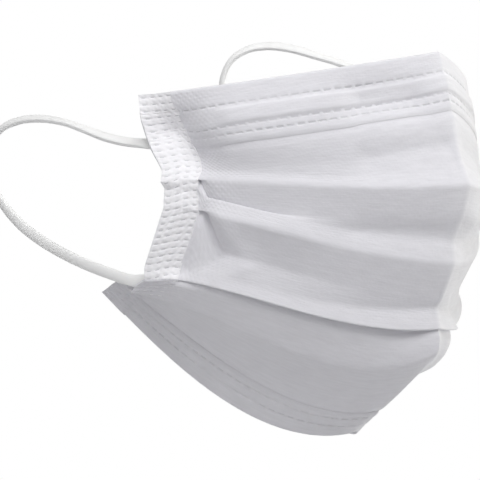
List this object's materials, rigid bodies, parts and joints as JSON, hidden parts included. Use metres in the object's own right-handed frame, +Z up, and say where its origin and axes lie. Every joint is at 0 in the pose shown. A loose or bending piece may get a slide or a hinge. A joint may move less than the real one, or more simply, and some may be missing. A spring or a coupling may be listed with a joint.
{
  "type": "disposable face mask",
  "caption": "Pleated three-ply disposable face mask, opened out as worn, with nose wire, welded side strips and elastic ear loops.",
  "frame": {"origin": "where the middle of the top edge rests on the bridge of the nose", "axes": "+Z up, -Y the way the wearer faces, +X the wearer's left"},
  "size_m": [0.123, 0.1581, 0.1255],
  "materials": {
    "spunbond": "matt white spunbond polypropylene with welded dashes",
    "elastic": "matt white knitted elastic",
    "wire": "white plastic-coated steel strip"
  },
  "bodies": {
    "root": {"pleated_panel": "spunbond", "nose_hem": "spunbond", "chin_hem": "spunbond", "cheek_band_right": "spunbond", "cheek_band_left": "spunbond", "nose_wire": "wire", "ear_loop_right": "elastic", "ear_loop_left": "elastic"}
  },
  "joints": []
}
